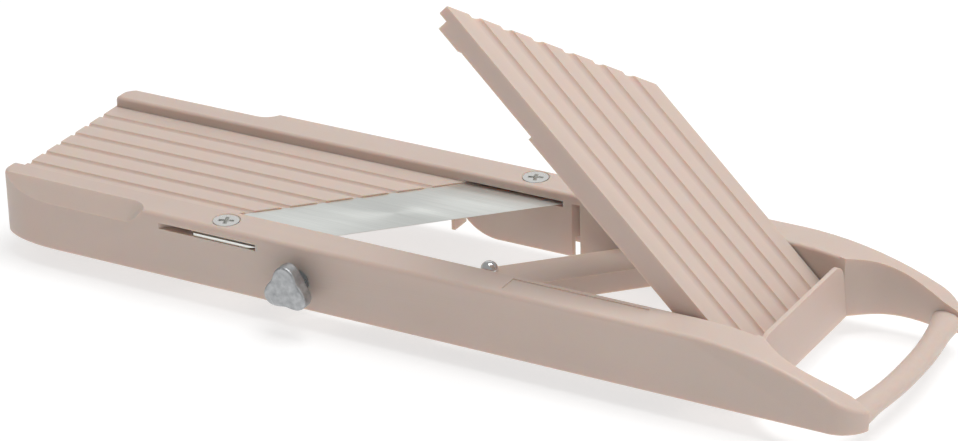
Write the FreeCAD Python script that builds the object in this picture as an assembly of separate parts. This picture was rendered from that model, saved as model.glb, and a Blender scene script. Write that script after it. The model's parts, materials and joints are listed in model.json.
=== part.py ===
import FreeCAD, Part
import math
import os

# Slanted-blade mandoline slicer: a moulded frame with two rails, a fixed ribbed landing
# plate, a steel blade set at 45 degrees, a hinged ribbed infeed plate (shown lifted), a
# screw that sets the slice thickness and a side screw that clamps a comb blade.
# Millimetres. +X runs from the discharge end to the handle, +Y across, +Z up.
# The origin is on the underside plane, at the middle of the diagonal crossbar.

Vec = FreeCAD.Vector
ROOT2 = math.sqrt(2.0)

# Frame
DISCHARGE_X = -182.0
HANDLE_X = 137.6
HALF_WIDTH = 43.5
HALF_CHANNEL = 30.3
RAIL_TOP = 22.7
WALL = 2.6
RIB_TOP = 18.9
SHEET_UNDER = 15.2
RIBS = 7
RIB_PITCH = 2 * HALF_CHANNEL / RIBS
LANDING_GROOVE = (2.6, 0.9)
END_CORNER = 11.5
END_TAPER = (24.0, 9.0)
SHOULDER_X = 77.5
SHOULDER_R = 121.0
SHOULDER_END_X = 144.0
DIVIDER_X = 96.7
DIVIDER_WALL = 2.4
DIVIDER_TIP = 1.2
DIVIDER_CORNER = 6.0
DIVIDER_TOP = 19.5
# Edge of the finger window, from the divider outwards: distance from it, half width
WINDOW_EDGE = (
    (0.0, 29.8),
    (4.0, 33.0),
    (9.0, 36.0),
    (15.0, 37.4),
    (21.0, 37.2),
    (27.0, 36.0),
    (31.9, 34.8),
)
# Grip bar stations from the middle outwards: distance from the middle, centre X,
# half width, half height. The last one ends inside the corner block.
GRIP_STATIONS = (
    (0.0, 134.9, 4.0, 3.5),
    (10.0, 134.7, 4.0, 3.5),
    (19.0, 133.9, 4.0, 3.5),
    (28.0, 132.8, 4.3, 3.6),
    (33.0, 132.2, 4.9, 3.5),
    (38.0, 130.9, 4.9, 3.3),
)
GRIP_BOTTOM = 0.3
CROSSBAR_HALF = 8.0
CROSSBAR_TOP = 7.3
TOP_RECESS_X = (12.6, 61.0)
TOP_RECESS_Y = (-40.5, -32.7)
TOP_RECESS_DEPTH = 0.3
LABEL_INNER_Y = 38.0
LABEL_LEDGE_Z = 17.0
LABEL_END_X = -128.0

# Blade: across the 45 degree direction (B) and along it (A)
BLADE_B = (-50.2, -24.4)
BLADE_BEVEL = 2.6
BLADE_THICK = 1.0
BLADE_Z = 17.4
BLADE_END_Y = 42.9
BLADE_NEAR_RUN = 17.0
SLOT_B = (-50.5, -23.9)
SLOT_Z = (17.3, 19.5)
LANDING_EDGE_B = -49.2
SEAT_B = -43.0
SEAT_UNDER = 11.5
ARCH_X = -28.0
ARCH_R = 17.0
COMB_B = (-21.6, -19.4)
COMB_DEPTH_Y = 36.0
COMB_TOP = 19.3
COMB_RELIEF = ((-4.5, 6.0), 0.9, 7.0)

# Fasteners
SCREW_R = 2.5
THREAD_BORE_R = 2.55
SCREW_B = -38.7
SCREW_Y = 37.3
HEAD_R = 4.35
HEAD_GAP = 0.45
CROSS_HALF = (2.6, 0.65)
HEAD_H = 2.3
INSERT_R = 3.6

# Comb clamp, screwed in from the near side
CLAMP_X = -61.2
CLAMP_Z = 10.2
CLAMP_PAD_R = 3.3
CLAMP_KNOB_Y = -47.6

# Thickness adjuster, screwed up through the crossbar
ADJUST_A = -13.3
CAP_R = 3.05
CAP_CENTRE_Z = 10.6

# Knobs of both screws
KNOB_MEAN_R = 7.1
KNOB_LOBE = 1.35
KNOB_THICK = 4.8
KNOB_BOSS_R = 4.5

# Infeed plate, drawn closed and level, then turned up about its hinge
HINGE_X = 81.2
HINGE_Z = 12.4
LIFT_DEG = 44.34
PLATE_HALF = 29.7
PLATE_TOP = 18.1
PLATE_SHEET = 3.9
PLATE_NOSE_B = -16.8
PLATE_TAIL = 11.0
NOSE_ROUND = 0.5
PLATE_GROOVE = (3.6, 1.3)
SKIRT_WALL = 2.0
SKIRT_DEPTH = 8.7
RELIEF_B = (-7.3, 17.4)
RELIEF_DEPTH = 7.3
PIN_R = 2.3
PIN_LENGTH = 3.2


def at(a, b):
    """Plan point from distances along (a) and across (b) the blade direction."""
    return ((a + b) / ROOT2, (a - b) / ROOT2)


def box(x0, x1, y0, y1, z0, z1):
    return Part.makeBox(x1 - x0, y1 - y0, z1 - z0, Vec(x0, y0, z0))


def prism(points, z0, z1):
    """Upright prism over a plan polygon."""
    loop = [Vec(x, y, z0) for x, y in points]
    face = Part.Face(Part.makePolygon(loop + loop[:1]))
    return face.extrude(Vec(0, 0, z1 - z0))


def side_prism(points, y0, y1):
    """Prism across the width over a polygon in X and Z."""
    loop = [Vec(x, y0, z) for x, z in points]
    face = Part.Face(Part.makePolygon(loop + loop[:1]))
    return face.extrude(Vec(0, y1 - y0, 0))


def strip(b0, b1, half_y, z0, z1):
    """Slanted strip parallel to the blade, cut off at plus and minus half_y."""
    points = [
        (ROOT2 * b0 - half_y, -half_y),
        (ROOT2 * b1 - half_y, -half_y),
        (ROOT2 * b1 + half_y, half_y),
        (ROOT2 * b0 + half_y, half_y),
    ]
    return prism(points, z0, z1)


def post(x, y, radius, z0, z1):
    return Part.makeCylinder(radius, z1 - z0, Vec(x, y, z0), Vec(0, 0, 1))


def rod_y(x, z, radius, y0, y1):
    return Part.makeCylinder(radius, y1 - y0, Vec(x, y0, z), Vec(0, 1, 0))


def fused(shapes):
    return shapes[0].multiFuse(shapes[1:]).removeSplitter()


def groove_cutters(size, top, x0, x1):
    """Round-bottomed grooves along X between the ribs."""
    width, depth = size
    radius = (width ** 2 / 4 + depth ** 2) / (2 * depth)
    cutters = []
    for k in range(1, RIBS):
        start = Vec(x0, HALF_CHANNEL - k * RIB_PITCH, top - depth + radius)
        cutters.append(Part.makeCylinder(radius, x1 - x0, start, Vec(1, 0, 0)))
    return cutters


def arc(p0, p1, p2, z=0.0):
    return Part.Arc(Vec(*p0, z), Vec(*p1, z), Vec(*p2, z)).toShape()


def line(p0, p1, z=0.0):
    return Part.makeLine(Vec(*p0, z), Vec(*p1, z))


def frame_outline():
    """Plan outline: the discharge end tapers in gently, the handle corners are round."""
    x0 = DISCHARGE_X
    w = HALF_WIDTH
    c = END_CORNER
    m = c * (1 - math.sqrt(0.5))
    run, inset = END_TAPER
    oval = Part.Ellipse(Vec(x0 + run, w - inset, 0), run, inset)
    half = [
        Part.ArcOfEllipse(oval, math.pi / 2, math.pi).toShape(),
        line((x0 + run, w), (HANDLE_X - c, w)),
        arc((HANDLE_X - c, w), (HANDLE_X - m, w - m), (HANDLE_X, w - c)),
    ]
    other = [e.mirror(Vec(0, 0, 0), Vec(0, 1, 0)) for e in half]
    ends = [
        line((x0, inset - w), (x0, w - inset)),
        line((HANDLE_X, c - w), (HANDLE_X, w - c)),
    ]
    wire = Part.Wire(Part.__sortEdges__(half + other + ends))
    return Part.Face(wire)


def shoulder_cutter():
    """Space above the rails where their tops curve down towards the handle."""
    centre_z = RAIL_TOP - SHOULDER_R
    run = SHOULDER_END_X - SHOULDER_X
    end_z = centre_z + math.sqrt(SHOULDER_R ** 2 - run ** 2)
    mid_z = centre_z + math.sqrt(SHOULDER_R ** 2 - (run / 2) ** 2)
    y = -60.0
    start = Vec(SHOULDER_X, y, RAIL_TOP)
    end = Vec(SHOULDER_END_X, y, end_z)
    top = RAIL_TOP + 20.0
    edges = [
        Part.Arc(start, Vec(SHOULDER_X + run / 2, y, mid_z), end).toShape(),
        Part.makeLine(end, Vec(SHOULDER_END_X, y, top)),
        Part.makeLine(Vec(SHOULDER_END_X, y, top), Vec(SHOULDER_X, y, top)),
        Part.makeLine(Vec(SHOULDER_X, y, top), start),
    ]
    return Part.Face(Part.Wire(edges)).extrude(Vec(0, 120, 0))


def is_outer_top(edge):
    b = edge.BoundBox
    across = b.XLength < 0.01 and b.YLength > 50
    return b.ZMin > 5 and (not across or b.XMax < DISCHARGE_X + 1)


def is_lip(edge):
    b = edge.BoundBox
    on_wall = b.YLength < 0.01 and abs(abs(b.YMin) - HALF_CHANNEL) < 0.01
    return on_wall and b.ZMax > RAIL_TOP - 0.5 and b.XLength > 5


def window_cutter():
    """Finger window: bows outwards into the rails, and the divider's face leans back."""
    wires = []
    for z, spread, x0 in (
        (-1.0, 1.5, DIVIDER_X + DIVIDER_WALL),
        (RAIL_TOP + 1.0, -0.3, DIVIDER_X + DIVIDER_TIP),
    ):
        points = [(x0 + run, half + spread) for run, half in WINDOW_EDGE]
        bow = Part.BSplineCurve()
        bow.interpolate([Vec(x, y, z) for x, y in points])
        far = bow.toShape()
        near = far.mirror(Vec(0, 0, 0), Vec(0, 1, 0))
        x1, y1 = points[-1]
        x2 = HANDLE_X + 9.0
        end = [
            line((x0, -points[0][1]), (x0, points[0][1]), z),
            line((x1, y1), (x2, y1), z),
            line((x2, y1), (x2, -y1), z),
            line((x2, -y1), (x1, -y1), z),
        ]
        wires.append(Part.Wire(Part.__sortEdges__([far, near] + end)))
    return Part.makeLoft(wires, True, True)


def divider_top_cutter():
    """Space above the divider, with its two upper corners rounded down at the rails."""
    x0 = DIVIDER_X - 0.1
    x1 = DIVIDER_X + DIVIDER_WALL + 0.1
    r = DIVIDER_CORNER
    above = box(x0, x1, -HALF_CHANNEL, HALF_CHANNEL, DIVIDER_TOP, RAIL_TOP + 5.0)
    corners = []
    for side in (-1, 1):
        y0, y1 = sorted((side * (HALF_CHANNEL - r), side * HALF_CHANNEL))
        corner = box(x0, x1, y0, y1, DIVIDER_TOP - r, DIVIDER_TOP)
        start = Vec(x0 - 1, side * (HALF_CHANNEL - r), DIVIDER_TOP - r)
        corners.append(corner.cut(Part.makeCylinder(r, x1 - x0 + 2, start, Vec(1, 0, 0))))
    return above.fuse(corners)


def grip_bar():
    """Rounded bar across the handle end, fullest in the middle."""
    right = [(-y, x, half_x, half_z) for y, x, half_x, half_z in GRIP_STATIONS[:0:-1]]
    wires = []
    for y, x, half_x, half_z in right + list(GRIP_STATIONS):
        centre = Vec(x, y, GRIP_BOTTOM + half_z)
        shape = Part.Ellipse(centre, half_x, half_z).toShape()
        shape.rotate(centre, Vec(1, 0, 0), 90)
        wires.append(Part.Wire([shape]))
    return Part.makeLoft(wires, True, False)


def label_cutter(side):
    """Blank sloping panel scooped out of a rail's outer top edge, with a round end."""
    y0 = side * LABEL_INNER_Y
    y1 = side * (HALF_WIDTH + 2.0)
    rise = RAIL_TOP - LABEL_LEDGE_Z
    slope = rise / (HALF_WIDTH - LABEL_INNER_Y)
    top = RAIL_TOP + 1.0
    section = [
        (y0 - side * 1.0 / slope, top),
        (y1, LABEL_LEDGE_Z - slope * 2.0),
        (y1, top),
    ]
    loop = [Vec(LABEL_END_X, y, z) for y, z in section]
    face = Part.Face(Part.makePolygon(loop + loop[:1]))
    straight = face.extrude(Vec(DISCHARGE_X - 5 - LABEL_END_X, 0, 0))
    turn = face.revolve(Vec(LABEL_END_X, y1, 0), Vec(0, 0, 1), side * 90)
    return fused([straight, turn])


def rail_pockets():
    """Hollows that leave the rails as thin walls, open below, with blocks at the screws."""
    y0 = HALF_CHANNEL + WALL
    y1 = HALF_WIDTH - WALL
    roof = RAIL_TOP - 3.2
    near = [(-50.0, 74.0, roof), (-84.0, -72.0, 13.0)]
    far = [(-8.0, 74.0, roof)]
    cutters = [box(x0, x1, -y1, -y0, -1, z) for x0, x1, z in near]
    cutters += [box(x0, x1, y0, y1, -1, z) for x0, x1, z in far]
    for side in (-1, 1):
        lo, hi = sorted((side * y0, side * y1))
        cutters.append(box(DISCHARGE_X + 12, -125.0, lo, hi, -1, 15.5))
    return cutters


def landing_hollow():
    """Open underside of the landing plate. At the blade it turns in to the inner walls."""
    y1 = HALF_WIDTH - WALL
    edge = ROOT2 * (BLADE_B[0] - 1.2)
    points = [
        (DISCHARGE_X + 12.0, -y1 + 4.0),
        (DISCHARGE_X + 22.0, -y1),
        (-116.0, -y1),
        (edge - HALF_CHANNEL - 4.0, -HALF_CHANNEL),
        (edge + HALF_CHANNEL - 4.0, HALF_CHANNEL),
        (-44.5, y1),
        (DISCHARGE_X + 22.0, y1),
        (DISCHARGE_X + 12.0, y1 - 4.0),
        (DISCHARGE_X + 3.0, y1 - 7.0),
        (DISCHARGE_X + 3.0, 7.0 - y1),
    ]
    hollow = prism(points, -1, SHEET_UNDER)
    for y in (-RIB_PITCH * 2, 0.0, RIB_PITCH * 2):
        hollow = hollow.cut(box(DISCHARGE_X, 0, y - 0.9, y + 0.9, SEAT_UNDER, SHEET_UNDER))
    for x in (-150.0, -115.0):
        hollow = hollow.cut(box(x - 0.9, x + 0.9, -HALF_WIDTH, HALF_WIDTH, SEAT_UNDER, SHEET_UNDER))
    return hollow


def arch_cutter():
    """Where the far inner wall curves up from its lower edge to the landing plate."""
    y0 = HALF_CHANNEL - 0.5
    y1 = HALF_WIDTH - WALL
    corner = box(ARCH_X - ARCH_R, ARCH_X, y0, y1, -1, SHEET_UNDER)
    return corner.cut(rod_y(ARCH_X, ARCH_R, ARCH_R, y0 - 1, y1 + 1))


def comb_relief():
    """The far inner wall is thinned behind the foot of the comb slot."""
    (x0, x1), wall, top = COMB_RELIEF
    return box(x0, x1, HALF_CHANNEL + wall, HALF_CHANNEL + WALL + 0.1, -1, top)


def blade_screw_places():
    return [(ROOT2 * SCREW_B + side * SCREW_Y, side * SCREW_Y) for side in (-1, 1)]


def frame():
    body = frame_outline().extrude(Vec(0, 0, RAIL_TOP)).cut(shoulder_cutter())
    body = body.makeFillet(1.5, [e for e in body.Edges if is_outer_top(e)])
    low = [e for e in body.Edges if e.BoundBox.ZMax < 0.01]
    body = body.makeFillet(0.8, low)
    channel = box(DISCHARGE_X - 2, DIVIDER_X, -HALF_CHANNEL, HALF_CHANNEL, RIB_TOP, RAIL_TOP + 2)
    body = body.cut(channel)
    body = body.makeFillet(1.2, [e for e in body.Edges if is_lip(e)])
    full = (-5.0, RAIL_TOP + 5.0)
    cutters = [
        divider_top_cutter(),
        window_cutter(),
        strip(LANDING_EDGE_B, 40.0, HALF_CHANNEL, SLOT_Z[0], full[1]).common(
            box(-200, DIVIDER_X, -HALF_CHANNEL, HALF_CHANNEL, 0, full[1])),
        strip(SEAT_B, -CROSSBAR_HALF, HALF_CHANNEL, *full),
        strip(BLADE_B[0] - 5.0, SEAT_B + 1.0, HALF_CHANNEL, -1, SEAT_UNDER),
        arch_cutter(),
        strip(-CROSSBAR_HALF - 1, CROSSBAR_HALF + 1, HALF_CHANNEL, CROSSBAR_TOP, full[1]),
        prism([
            (ROOT2 * CROSSBAR_HALF - HALF_CHANNEL, -HALF_CHANNEL),
            (DIVIDER_X, -HALF_CHANNEL),
            (DIVIDER_X, HALF_CHANNEL),
            (ROOT2 * CROSSBAR_HALF + HALF_CHANNEL, HALF_CHANNEL),
        ], *full),
        strip(SLOT_B[0], SLOT_B[1], HALF_WIDTH + 1, *SLOT_Z),
        strip(COMB_B[0], COMB_B[1], COMB_DEPTH_Y, -1, COMB_TOP),
        comb_relief(),
        landing_hollow(),
        label_cutter(-1),
        label_cutter(1),
        box(*TOP_RECESS_X, *TOP_RECESS_Y, RAIL_TOP - TOP_RECESS_DEPTH, RAIL_TOP + 1),
        rod_y(CLAMP_X, CLAMP_Z, INSERT_R + 0.4, -HALF_WIDTH - 1, -39.0),
        rod_y(CLAMP_X, CLAMP_Z, CLAMP_PAD_R + 0.3, -39.5, -31.0),
        post(*at(ADJUST_A, 0.0), INSERT_R, -1, CROSSBAR_TOP + 1),
    ]
    cutters += groove_cutters(LANDING_GROOVE, RIB_TOP, DISCHARGE_X - 2, 10.0)
    cutters += rail_pockets()
    for x, y in blade_screw_places():
        sink_r = HEAD_R + HEAD_GAP
        cutters.append(post(x, y, sink_r, RAIL_TOP - 0.15, RAIL_TOP + 1))
        cutters.append(Part.makeCone(sink_r - HEAD_H - 0.1, sink_r, HEAD_H + 0.1,
                                     Vec(x, y, RAIL_TOP - 0.15 - HEAD_H - 0.1), Vec(0, 0, 1)))
        cutters.append(post(x, y, SCREW_R + 0.2, SLOT_Z[0], RAIL_TOP))
        cutters.append(post(x, y, INSERT_R, 8.0, SLOT_Z[0] + 0.1))
    for side in (-1, 1):
        y0 = side * (HALF_CHANNEL - 0.5)
        y1 = side * (PLATE_HALF + PIN_LENGTH + 0.3)
        cutters.append(rod_y(HINGE_X, HINGE_Z, PIN_R + 0.08, min(y0, y1), max(y0, y1)))
    for cutter in cutters:
        body = body.cut(cutter)
    return body.fuse(grip_bar())


def blade():
    """Flat steel strip, ground from below to an edge, with both ends in the rails."""
    b0, b1 = BLADE_B
    a0 = -ROOT2 * BLADE_END_Y + b1 - BLADE_NEAR_RUN
    a1 = ROOT2 * BLADE_END_Y + b1
    top = BLADE_Z + BLADE_THICK
    section = [
        (b0, BLADE_Z),
        (b1 - BLADE_BEVEL, BLADE_Z),
        (b1, top - 0.1),
        (b1, top),
        (b0, top),
    ]
    loop = [Vec(*at(a0, b), z) for b, z in section]
    face = Part.Face(Part.makePolygon(loop + loop[:1]))
    length = (a1 - a0) / ROOT2
    solid = face.extrude(Vec(length, length, 0))
    solid = solid.common(box(-200, 100, -BLADE_END_Y, BLADE_END_Y, 0, 30))
    for x, y in blade_screw_places():
        solid = solid.cut(post(x, y, SCREW_R + 0.2, 0, 30))
    return solid


def blade_screws():
    screws = []
    top = RAIL_TOP - 0.1
    for x, y in blade_screw_places():
        head = Part.makeCone(HEAD_R - HEAD_H, HEAD_R, HEAD_H, Vec(x, y, top - HEAD_H), Vec(0, 0, 1))
        screw = fused([head, post(x, y, SCREW_R, 9.0, top - HEAD_H / 2)])
        for turn in (20.0, 110.0):
            run, half = CROSS_HALF
            arm = box(x - run, x + run, y - half, y + half, top - 1.6, top + 1)
            arm.rotate(Vec(x, y, 0), Vec(0, 0, 1), turn)
            screw = screw.cut(arm)
        screws.append(screw)
    return Part.makeCompound(screws)


def blade_inserts():
    rings = []
    for x, y in blade_screw_places():
        ring = post(x, y, INSERT_R, 8.4, SLOT_Z[0] - 0.1)
        rings.append(ring.cut(post(x, y, THREAD_BORE_R, 0, 30)))
    return Part.makeCompound(rings)


def knob():
    """Three-lobed cast knob on its own axis: lobes below z = 0, boss above."""
    points = []
    count = 36
    for i in range(count):
        turn = 2 * math.pi * i / count
        r = KNOB_MEAN_R + KNOB_LOBE * math.cos(3 * turn)
        points.append(Vec(r * math.cos(turn), r * math.sin(turn), -KNOB_THICK))
    curve = Part.BSplineCurve()
    curve.interpolate(points, PeriodicFlag=True)
    lobes = Part.Face(Part.Wire([curve.toShape()])).extrude(Vec(0, 0, KNOB_THICK))
    lobes = lobes.makeFillet(0.8, [e for e in lobes.Edges if e.BoundBox.ZLength < 0.01])
    return fused([lobes, post(0, 0, KNOB_BOSS_R, -1.0, 1.5)])


def lay_on_y(shape, x, y, z, turn):
    """Turn a part drawn along +Z to lie along +Y, spun by turn about its own axis."""
    shape.rotate(Vec(0, 0, 0), Vec(0, 0, 1), turn)
    shape.rotate(Vec(0, 0, 0), Vec(1, 0, 0), -90)
    shape.translate(Vec(x, y, z))
    return shape


def swivel_cap(radius, skirt, socket_r, tip_z):
    """Smooth domed cap, hollow below for the screw's tip, centred on its dome."""
    dome = Part.makeSphere(radius, Vec(0, 0, 0)).common(box(-9, 9, -9, 9, 0, 9))
    solid = fused([dome, post(0, 0, radius, -skirt, 0)])
    return solid.cut(post(0, 0, socket_r, -skirt - 1, tip_z))


def adjuster_cap():
    cap = swivel_cap(CAP_R, 0.5, 1.55, 1.4)
    cap.translate(Vec(*at(ADJUST_A, 0.0), CAP_CENTRE_Z))
    return cap


def adjuster_screw():
    x, y = at(ADJUST_A, 0.0)
    tip = post(x, y, 1.5, CAP_CENTRE_Z - 1.5, CAP_CENTRE_Z + 1.3)
    return fused([post(x, y, SCREW_R, -6.0, CAP_CENTRE_Z - 0.6), tip])


def adjuster_knob():
    solid = knob()
    solid.rotate(Vec(0, 0, 0), Vec(0, 0, 1), 15)
    solid.translate(Vec(*at(ADJUST_A, 0.0), -2.3))
    return solid.cut(post(*at(ADJUST_A, 0.0), SCREW_R, -6.0, 2))


def adjuster_insert():
    x, y = at(ADJUST_A, 0.0)
    ring = post(x, y, INSERT_R, 0.2, CROSSBAR_TOP)
    return ring.cut(post(x, y, THREAD_BORE_R, -1, 20))


def clamp_insert():
    ring = rod_y(CLAMP_X, CLAMP_Z, INSERT_R + 0.4, -HALF_WIDTH + 0.1, -39.2)
    return ring.cut(rod_y(CLAMP_X, CLAMP_Z, THREAD_BORE_R, -60, 0))


def clamp_screw():
    shank = rod_y(CLAMP_X, CLAMP_Z, SCREW_R, CLAMP_KNOB_Y - 3.9, -37.3)
    tip = rod_y(CLAMP_X, CLAMP_Z, 1.5, -38.0, -35.6)
    return fused([shank, tip])


def clamp_knob():
    solid = lay_on_y(knob(), CLAMP_X, CLAMP_KNOB_Y, CLAMP_Z, -90)
    return solid.cut(rod_y(CLAMP_X, CLAMP_Z, SCREW_R, CLAMP_KNOB_Y - 3.9, -40))


def clamp_pad():
    pad = rod_y(CLAMP_X, CLAMP_Z, CLAMP_PAD_R, -37.2, -34.6)
    return pad.cut(rod_y(CLAMP_X, CLAMP_Z, 1.55, -38, -35.5))


def infeed_plate():
    """Ribbed plate with a skirt below, a slanted free edge and two moulded hinge pins."""
    w = PLATE_HALF
    tail_x = HINGE_X + PLATE_TAIL
    under = PLATE_TOP - PLATE_SHEET
    nose = ROOT2 * PLATE_NOSE_B
    plan = [(nose - w, -w), (tail_x, -w), (tail_x, w), (nose + w, w)]
    sheet = prism(plan, under, PLATE_TOP)
    nose_edges = []
    for e in sheet.Edges:
        b = e.BoundBox
        slanted = b.XLength > 10 and b.YLength > 10
        if slanted or (b.ZLength > 1 and b.XMax < nose + w + 0.1):
            nose_edges.append(e)
    sheet = sheet.makeFillet(NOSE_ROUND, nose_edges)
    for cutter in groove_cutters(PLATE_GROOVE, PLATE_TOP, nose - w - 5, tail_x + 5):
        sheet = sheet.cut(cutter)
    set_back = PLATE_NOSE_B + 2.9
    low = PLATE_TOP - SKIRT_DEPTH
    front_low = PLATE_TOP - 8.0
    start = ROOT2 * set_back
    outer = [(start - w, -w), (tail_x, -w), (tail_x, w), (start + w, w)]
    inner_start = ROOT2 * (set_back + SKIRT_WALL)
    t = w - SKIRT_WALL
    inner = [(inner_start - t, -t), (tail_x - 2, -t), (tail_x - 2, t), (inner_start + t, t)]
    skirt = prism(outer, low, under + 0.5).cut(prism(inner, low - 1, under))
    skirt = skirt.cut(strip(RELIEF_B[0], RELIEF_B[1], w + 1, low - 1, PLATE_TOP - RELIEF_DEPTH))
    skirt = skirt.cut(strip(-60, RELIEF_B[0] + 0.01, w + 1, low - 1, front_low))
    heel = [
        (HINGE_X + 3.0, low - 1),
        (tail_x + 1, low - 1),
        (tail_x + 1, under - 1.2),
        (tail_x - 1.5, under - 1.2),
        (HINGE_X + 3.0, low),
    ]
    skirt = skirt.cut(side_prism(heel, -w - 1, w + 1))
    pieces = [sheet, skirt]
    for y in (-RIB_PITCH * 2, 0.0, RIB_PITCH * 2):
        rib_start = y + inner_start
        pieces.append(box(rib_start, tail_x - 1, y - 0.8, y + 0.8, under - 2.0, under + 0.5))
    for x in (20.0, 50.0):
        pieces.append(box(x - 0.8, x + 0.8, -w + 1, w - 1, under - 2.0, under + 0.5))
    for side in (-1, 1):
        y0 = side * (w - SKIRT_WALL)
        y1 = side * (w + PIN_LENGTH)
        pieces.append(rod_y(HINGE_X, HINGE_Z, PIN_R, min(y0, y1), max(y0, y1)))
    plate = fused(pieces)
    pad_x, pad_y = at(ADJUST_A, 0.0)
    plate = plate.cut(post(pad_x, pad_y, 5.5, under - 5.0, under))
    plate.rotate(Vec(HINGE_X, 0, HINGE_Z), Vec(0, 1, 0), LIFT_DEG)
    return plate


PARTS = {
    "frame": frame,
    "infeed_plate": infeed_plate,
    "blade": blade,
    "blade_screws": blade_screws,
    "blade_inserts": blade_inserts,
    "adjuster_insert": adjuster_insert,
    "adjuster_cap": adjuster_cap,
    "adjuster_screw": adjuster_screw,
    "adjuster_knob": adjuster_knob,
    "clamp_insert": clamp_insert,
    "clamp_pad": clamp_pad,
    "clamp_screw": clamp_screw,
    "clamp_knob": clamp_knob,
}

os.makedirs("parts", exist_ok=True)
for name, make in PARTS.items():
    shape = make()
    shape.exportStep("parts/" + name + ".step")
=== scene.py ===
import json
import math

import bmesh
import bpy
from mathutils import Matrix, Vector


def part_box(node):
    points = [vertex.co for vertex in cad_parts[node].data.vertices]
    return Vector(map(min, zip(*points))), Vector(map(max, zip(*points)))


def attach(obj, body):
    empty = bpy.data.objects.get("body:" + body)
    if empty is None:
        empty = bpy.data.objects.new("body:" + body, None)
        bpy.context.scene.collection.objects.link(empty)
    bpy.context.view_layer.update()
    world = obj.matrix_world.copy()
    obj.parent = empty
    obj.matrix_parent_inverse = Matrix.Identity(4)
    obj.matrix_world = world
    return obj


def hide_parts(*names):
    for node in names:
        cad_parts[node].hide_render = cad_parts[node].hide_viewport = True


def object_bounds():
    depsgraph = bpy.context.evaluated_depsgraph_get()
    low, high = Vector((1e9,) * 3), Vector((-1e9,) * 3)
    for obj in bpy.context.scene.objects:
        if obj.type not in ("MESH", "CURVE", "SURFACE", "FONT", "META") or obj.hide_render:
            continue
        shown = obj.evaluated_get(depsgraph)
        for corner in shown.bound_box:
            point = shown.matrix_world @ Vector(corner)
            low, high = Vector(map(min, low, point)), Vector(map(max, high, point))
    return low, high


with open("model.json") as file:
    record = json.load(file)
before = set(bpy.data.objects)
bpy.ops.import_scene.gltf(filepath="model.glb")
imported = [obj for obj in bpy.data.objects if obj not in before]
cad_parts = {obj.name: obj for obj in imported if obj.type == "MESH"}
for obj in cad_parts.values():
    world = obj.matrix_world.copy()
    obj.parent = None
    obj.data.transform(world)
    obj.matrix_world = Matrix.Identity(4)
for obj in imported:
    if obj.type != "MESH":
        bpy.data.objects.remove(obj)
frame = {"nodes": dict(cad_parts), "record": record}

# Looks for the slanted-blade mandoline slicer: moulded plastic, ground steel, plated
# screws, turned brass and cast knobs. Metres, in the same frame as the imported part.
cad_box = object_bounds()
nodes = frame["nodes"]
MM = 0.001


# ---------------------------------------------------------------- node material helpers
class Graph:
    """A small wrapper that keeps the node set-up of one material readable."""

    def __init__(self, name):
        self.material = bpy.data.materials.new(name)
        self.material.use_nodes = True
        self.tree = self.material.node_tree
        self.shader = self.tree.nodes["Principled BSDF"]

    def add(self, kind, **settings):
        node = self.tree.nodes.new(kind)
        for key, value in settings.items():
            setattr(node, key, value)
        return node

    def link(self, source, target):
        self.tree.links.new(source, target)

    def place(self, scale=(1.0, 1.0, 1.0), turn_z=0.0):
        """Object coordinates, stretched and then turned: the same on every view."""
        coordinates = self.add("ShaderNodeTexCoord")
        mapping = self.add("ShaderNodeMapping")
        mapping.inputs["Scale"].default_value = scale
        mapping.inputs["Rotation"].default_value = (0.0, 0.0, turn_z)
        self.link(coordinates.outputs["Object"], mapping.inputs["Vector"])
        return mapping.outputs["Vector"]

    def noise(self, vector, scale, detail=3.0, roughness=0.55):
        node = self.add("ShaderNodeTexNoise")
        node.inputs["Scale"].default_value = scale
        node.inputs["Detail"].default_value = detail
        node.inputs["Roughness"].default_value = roughness
        self.link(vector, node.inputs["Vector"])
        return node.outputs["Fac"]

    def spread(self, value, low, high, source=(0.3, 0.7)):
        node = self.add("ShaderNodeMapRange")
        node.inputs["From Min"].default_value = source[0]
        node.inputs["From Max"].default_value = source[1]
        node.inputs["To Min"].default_value = low
        node.inputs["To Max"].default_value = high
        self.link(value, node.inputs["Value"])
        return node.outputs["Result"]

    def blend(self, factor, first, second):
        node = self.add("ShaderNodeMix", data_type="RGBA")
        self.link(factor, node.inputs["Factor"])
        for socket, value in ((node.inputs["A"], first), (node.inputs["B"], second)):
            if isinstance(value, tuple):
                socket.default_value = (*value, 1.0)
            else:
                self.link(value, socket)
        return node.outputs["Result"]

    def bump(self, height, strength, distance, normal=None):
        node = self.add("ShaderNodeBump")
        node.inputs["Strength"].default_value = strength
        node.inputs["Distance"].default_value = distance
        self.link(height, node.inputs["Height"])
        if normal is not None:
            self.link(normal, node.inputs["Normal"])
        return node.outputs["Normal"]

    def edges(self, low=0.52, high=0.62):
        """Mask of the outward edges, where the colour gets a painted highlight."""
        geometry = self.add("ShaderNodeNewGeometry")
        return self.spread(geometry.outputs["Pointiness"], 0.0, 1.0, (low, high))

    def set(self, **values):
        for key, value in values.items():
            self.shader.inputs[key.replace("_", " ")].default_value = value


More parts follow.
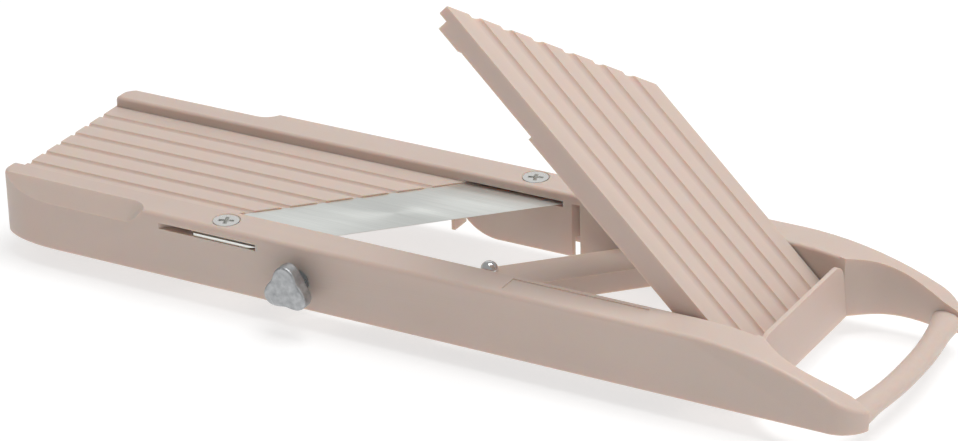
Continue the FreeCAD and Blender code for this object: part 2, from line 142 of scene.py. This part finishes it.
def moulded_plastic(name, tint):
    """Satin injection-moulded plastic: cloudy tint, fine spark-eroded grain, warm depth."""
    g = Graph(name)
    place = g.place()
    cloud = g.spread(g.noise(place, 22.0, 4.0), 0.0, 1.0)
    dark = tuple(c * 0.955 for c in tint)
    base = g.blend(cloud, dark, tint)
    speck = g.spread(g.noise(place, 1900.0, 2.0), 0.0, 1.0, (0.62, 0.75))
    fleck = g.blend(speck, base, tuple(c * 0.93 for c in tint))
    # Painted highlight: the convex edges are lightened by 3 % as if catching the light.
    painted_edge_highlight = g.blend(g.edges(), fleck, tuple(min(1.0, c * 1.03) for c in tint))
    g.link(painted_edge_highlight, g.shader.inputs["Base Color"])
    g.link(g.spread(g.noise(place, 60.0, 5.0), 0.40, 0.52), g.shader.inputs["Roughness"])
    flow = g.bump(g.noise(place, 45.0, 2.0), 0.05, 0.0006)
    grain = g.bump(g.noise(place, 2600.0, 2.0), 0.10, 0.00006, flow)
    g.link(grain, g.shader.inputs["Normal"])
    g.set(IOR=1.49, Subsurface_Weight=0.5, Subsurface_Radius=(1.0, 0.42, 0.22))
    g.set(Subsurface_Scale=0.004, Specular_IOR_Level=0.42)
    return g.material


# Applied after the stretch, so the ground strokes lie along X and not along the blade
STEEL_NOISE_TURN = math.radians(-45.0)
STEEL_DARK = (0.80, 0.825, 0.80)
STEEL_LIGHT = (0.90, 0.92, 0.895)


def ground_steel(name):
    """Stainless strip with fine ground strokes and a broader smear in its shine."""
    g = Graph(name)
    along = g.place((40.0, 2600.0, 900.0), STEEL_NOISE_TURN)
    stroke = g.noise(along, 1.0, 5.0, 0.65)
    smear = g.noise(g.place((14.0, 260.0, 60.0), STEEL_NOISE_TURN), 1.0, 3.0)
    g.link(g.blend(g.spread(stroke, 0.0, 1.0), STEEL_DARK, STEEL_LIGHT),
           g.shader.inputs["Base Color"])
    g.link(g.spread(smear, 0.34, 0.46), g.shader.inputs["Roughness"])
    g.link(g.bump(stroke, 0.16, 0.00004), g.shader.inputs["Normal"])
    g.set(Metallic=1.0, Anisotropic=0.45)
    return g.material


def plated_steel(name, tint, rough):
    """Zinc or chrome plating with faint handling marks."""
    g = Graph(name)
    place = g.place()
    haze = g.noise(place, 420.0, 4.0)
    marks = g.noise(place, 2300.0, 3.0, 0.7)
    g.link(g.blend(g.spread(haze, 0.0, 1.0), tuple(c * 0.93 for c in tint), tint),
           g.shader.inputs["Base Color"])
    g.link(g.spread(haze, rough, rough + 0.10), g.shader.inputs["Roughness"])
    g.link(g.bump(marks, 0.06, 0.00002), g.shader.inputs["Normal"])
    g.set(Metallic=1.0)
    return g.material


BRASS_DARK = (0.55, 0.38, 0.15)
BRASS_LIGHT = (0.74, 0.56, 0.27)


def turned_brass(name):
    """Brass with fine rings across its Z axis, as turning leaves them."""
    g = Graph(name)
    rings = g.noise(g.place((1.0, 1.0, 60.0)), 90.0, 4.0)
    g.link(g.blend(g.spread(rings, 0.0, 1.0), BRASS_DARK, BRASS_LIGHT),
           g.shader.inputs["Base Color"])
    g.link(g.spread(rings, 0.26, 0.40), g.shader.inputs["Roughness"])
    g.link(g.bump(rings, 0.12, 0.00004), g.shader.inputs["Normal"])
    g.set(Metallic=1.0)
    return g.material


ZINC_DARK = (0.34, 0.35, 0.36)
ZINC_LIGHT = (0.50, 0.51, 0.52)
# Painted highlight colour laid on the knob's convex edges
ZINC_EDGE_HIGHLIGHT = (0.66, 0.67, 0.68)


def tumbled_zinc(name):
    """Die-cast knob, tumbled matt: mottled grey, orange-peel skin, painted highlight on the
    edges.
    """
    g = Graph(name)
    place = g.place()
    mottle = g.spread(g.noise(place, 520.0, 5.0, 0.6), 0.0, 1.0)
    base = g.blend(mottle, ZINC_DARK, ZINC_LIGHT)
    # Painted highlight: the convex edges blend to a paler grey.
    g.link(g.blend(g.edges(), base, ZINC_EDGE_HIGHLIGHT), g.shader.inputs["Base Color"])
    g.link(g.spread(g.noise(place, 900.0, 3.0), 0.40, 0.56), g.shader.inputs["Roughness"])
    skin = g.bump(g.noise(place, 1300.0, 3.0), 0.28, 0.00006)
    g.link(skin, g.shader.inputs["Normal"])
    g.set(Metallic=1.0)
    return g.material


BEIGE = (0.610, 0.497, 0.436)
SCREW_PLATING = (0.93, 0.93, 0.91)
STUD_PLATING = (0.62, 0.63, 0.64)
CAP_CHROME = (0.84, 0.85, 0.86)
materials = {
    "frame_plastic": moulded_plastic("frame_plastic_look", BEIGE),
    "plate_plastic": moulded_plastic("plate_plastic_look", BEIGE),
    "blade_steel": ground_steel("blade_steel_look"),
    "screw_steel": plated_steel("screw_steel_look", SCREW_PLATING, 0.22),
    "insert_brass": turned_brass("insert_brass_look"),
    "cast_knob": tumbled_zinc("cast_knob_look"),
    "stud_steel": plated_steel("stud_steel_look", STUD_PLATING, 0.24),
    "cap_chrome": plated_steel("cap_chrome_look", CAP_CHROME, 0.08),
}

slot_of = {entry["node"]: entry["material_slot"] for entry in frame["record"]["subparts"]}


def dress(node):
    """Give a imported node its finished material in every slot."""
    thing = nodes[node]
    look = materials[slot_of[node]]
    if not thing.material_slots:
        thing.data.materials.append(look)
    for slot in thing.material_slots:
        slot.material = look


for node in nodes:
    dress(node)


# ---------------------------------------------------------------- threaded studs
STUD_RADIUS = 2.5 * MM
STUD_PITCH = 0.8 * MM
STUD_THREAD = 0.45 * MM
STUD_TIP_RADIUS = 1.5 * MM
ADJUSTER_TIP = 1.9 * MM
CLAMP_TIP = 1.7 * MM
THREAD_SIDES = 36
THREAD_EDGE = math.radians(38.0)
UP = Vector((0.0, 0.0, 1.0))
INWARD = Vector((0.0, 1.0, 0.0))
# Height within one turn, and whether that point is on the crest
THREAD_FORM = ((0.0, False), (0.28, False), (0.56, True), (0.72, True))


def threaded_rod(name, radius, pitch, depth, length, tip):
    """Stud along +Z from z = 0: one continuous helical thread and a plain turned tip."""
    around = THREAD_SIDES
    steps = int(length / pitch * around)
    profile = [(rise, 0.0 if crest else -depth) for rise, crest in THREAD_FORM]
    mesh = bmesh.new()
    rows = []
    for i in range(steps + 1):
        turn = 2.0 * math.pi * i / around
        fade = min(1.0, i / around, (steps - i) / around)
        ring = []
        for rise, inset in profile:
            z = min(length, max(0.0, pitch * (i / around + rise - 0.5)))
            r = radius - depth + (depth + inset) * fade
            ring.append(mesh.verts.new((r * math.cos(turn), r * math.sin(turn), z)))
        rows.append(ring)
    for first, second in zip(rows, rows[1:]):
        for k in range(len(profile) - 1):
            mesh.faces.new((first[k], second[k], second[k + 1], first[k + 1]))
    for i in range(len(rows) - around):
        low, low_next = rows[i][-1], rows[i + 1][-1]
        high, high_next = rows[i + around][0], rows[min(i + 1 + around, steps)][0]
        if high is not high_next:
            mesh.faces.new((low, low_next, high_next, high))
    core = radius - depth
    for r, z0, z1 in ((core, 0.0, length), (tip[0], length, length + tip[1])):
        disc = bmesh.ops.create_cone(mesh, cap_ends=True, segments=around, radius1=r,
                                     radius2=r, depth=z1 - z0)
        bmesh.ops.translate(mesh, vec=(0.0, 0.0, (z0 + z1) / 2.0), verts=disc["verts"])
    bmesh.ops.recalc_face_normals(mesh, faces=mesh.faces)
    data = bpy.data.meshes.new(name)
    mesh.to_mesh(data)
    mesh.free()
    data.polygons.foreach_set("use_smooth", [True] * len(data.polygons))
    data.set_sharp_from_angle(angle=THREAD_EDGE)
    thing = bpy.data.objects.new(name, data)
    bpy.context.scene.collection.objects.link(thing)
    data.materials.append(materials["stud_steel"])
    return thing


def stud_for(node, tip_length, direction, name, body):
    """Threaded stand-in for a plain packed stud, laid along the stud's own axis."""
    low, high = (Vector(corner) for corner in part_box(node))
    middle = (low + high) / 2.0
    reach = (high - low).dot(direction)
    rod = threaded_rod(name, STUD_RADIUS, STUD_PITCH, STUD_THREAD, reach - tip_length,
                       (STUD_TIP_RADIUS, tip_length))
    turn = UP.rotation_difference(direction).to_matrix().to_4x4()
    rod.data.transform(Matrix.Translation(middle - direction * reach / 2.0) @ turn)
    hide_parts(node)
    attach(rod, body)


stud_for("adjuster_screw", ADJUSTER_TIP, UP, "adjuster_stud", "adjuster_turn")
stud_for("clamp_screw", CLAMP_TIP, INWARD, "clamp_stud", "clamp_turn")


# ---------------------------------------------------------------- floor, light and camera
FLOOR_SIZE = 12.0
FLOOR_GAP = 0.0004
FLOOR_TINT = (0.42, 0.42, 0.42, 1.0)
FLOOR_GLOW = 0.64
SKY_TINT = (1.0, 0.995, 0.985, 1.0)
SKY_STRENGTH = 0.34
# Each soft light: name, place, diameter in metres, power in watts
LIGHTS = (
    ("overhead", (0.35, 0.14, 1.5), 1.2, 18.5),
    ("right_fill", (1.4, 0.1, 0.7), 0.9, 2.4),
    ("back_glow", (-0.95, 1.6, 0.95), 1.6, 1.9),
)
LIGHT_TARGET = (-0.02, 0.0, 0.02)


def pale_floor():
    g = Graph("floor_look")
    g.set(Base_Color=FLOOR_TINT, Roughness=0.9)
    g.set(Emission_Color=(1.0, 1.0, 1.0, 1.0), Emission_Strength=FLOOR_GLOW)
    height = cad_box[0][2] - FLOOR_GAP
    bpy.ops.mesh.primitive_plane_add(size=FLOOR_SIZE, location=(0.0, 0.0, height))
    floor = bpy.context.object
    floor.name = "floor"
    floor.data.materials.append(g.material)


def soft_light(name, place, size, power):
    data = bpy.data.lights.new(name, "AREA")
    data.shape = "DISK"
    data.size = size
    data.energy = power
    lamp = bpy.data.objects.new(name, data)
    lamp.location = place
    aim = Vector(LIGHT_TARGET) - Vector(place)
    lamp.rotation_euler = aim.to_track_quat("-Z", "Y").to_euler()
    bpy.context.scene.collection.objects.link(lamp)


def studio():
    world = bpy.data.worlds.new("studio")
    world.use_nodes = True
    backdrop = world.node_tree.nodes["Background"]
    backdrop.inputs["Color"].default_value = SKY_TINT
    backdrop.inputs["Strength"].default_value = SKY_STRENGTH
    bpy.context.scene.world = world
    for light in LIGHTS:
        soft_light(*light)
    bpy.context.scene.view_settings.view_transform = "Standard"


CAMERA_PLACE = (0.5385, -0.9653, 0.5552)
CAMERA_YAW = math.radians(119.865)
CAMERA_PITCH = math.radians(25.559)
CAMERA_ROLL = math.radians(-1.442)
CAMERA_LENS = 142.4
CAMERA_SHIFT = -0.00665
SENSOR_WIDTH = 36.0


def add_camera():
    level = math.cos(CAMERA_PITCH)
    ahead = Vector((math.cos(CAMERA_YAW) * level, math.sin(CAMERA_YAW) * level,
                    -math.sin(CAMERA_PITCH)))
    right = Vector((math.sin(CAMERA_YAW), -math.cos(CAMERA_YAW), 0.0))
    up = right.cross(ahead)
    across = right * math.cos(CAMERA_ROLL) + up * math.sin(CAMERA_ROLL)
    upright = up * math.cos(CAMERA_ROLL) - right * math.sin(CAMERA_ROLL)
    data = bpy.data.cameras.new("camera")
    data.lens = CAMERA_LENS
    data.sensor_width = SENSOR_WIDTH
    data.shift_x = CAMERA_SHIFT
    camera = bpy.data.objects.new("camera", data)
    columns = Matrix((across, upright, -ahead)).transposed().to_4x4()
    camera.matrix_world = Matrix.Translation(CAMERA_PLACE) @ columns
    bpy.context.scene.collection.objects.link(camera)
    bpy.context.scene.camera = camera


pale_floor()
studio()
add_camera()
